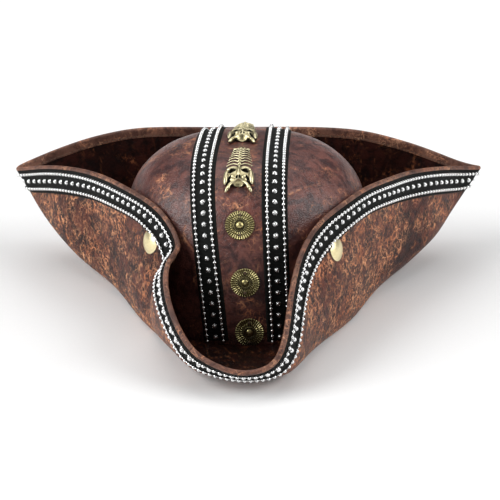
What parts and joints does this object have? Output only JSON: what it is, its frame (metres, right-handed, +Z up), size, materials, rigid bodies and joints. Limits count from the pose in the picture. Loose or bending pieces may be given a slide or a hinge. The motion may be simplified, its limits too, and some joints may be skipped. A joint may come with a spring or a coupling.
{
  "type": "tricorn pirate hat",
  "caption": "Soft leather tricorn hat with a forward spout, rounded crown, studded ribbon trim and bands, stamped discs and cast charms.",
  "frame": {"origin": "centre of the head opening, in the plane that the hat rests on", "axes": "+Z up through the crown, -Y to the front spout, +X to the right rear point as seen from the front"},
  "size_m": [0.385, 0.3366, 0.1363],
  "materials": {
    "leather": "distressed, semi-matt",
    "stiffener": "stiff non-woven",
    "lining": "plain weave",
    "sweatband": "ribbed",
    "thread": "twisted thread",
    "ribbon": "woven",
    "silver": "polished",
    "antique_brass": "antique",
    "pale_brass": "brushed"
  },
  "bodies": {
    "root": {"brim_core": "stiffener", "brim_edge_binding": "leather", "brim_trim_lower_chain": "silver", "brim_trim_ribbon": "ribbon", "brim_trim_studs": "silver", "brim_trim_upper_chain": "silver", "brim_under_leather": "leather", "brim_upper_leather": "leather", "concho_lower": "antique_brass", "concho_middle": "antique_brass", "concho_upper": "antique_brass", "crown_centre_panel": "leather", "crown_interlining": "stiffener", "crown_left_panel": "leather", "crown_lining": "lining", "crown_right_panel": "leather", "left_band_left_chain": "silver", "left_band_ribbon": "ribbon", "left_band_right_chain": "silver", "left_band_studs": "silver", "left_rivet_back_cap": "pale_brass", "left_rivet_cap": "pale_brass", "left_rivet_post": "pale_brass", "ornament_threads": "thread", "right_band_left_chain": "silver", "right_band_ribbon": "ribbon", "right_band_right_chain": "silver", "right_band_studs": "silver", "right_rivet_back_cap": "pale_brass", "right_rivet_cap": "pale_brass", "right_rivet_post": "pale_brass", "seam_tape": "lining", "skull_ornament_front": "antique_brass", "skull_ornament_top": "antique_brass", "sweatband": "sweatband", "sweatband_stitches": "thread"}
  },
  "joints": []
}
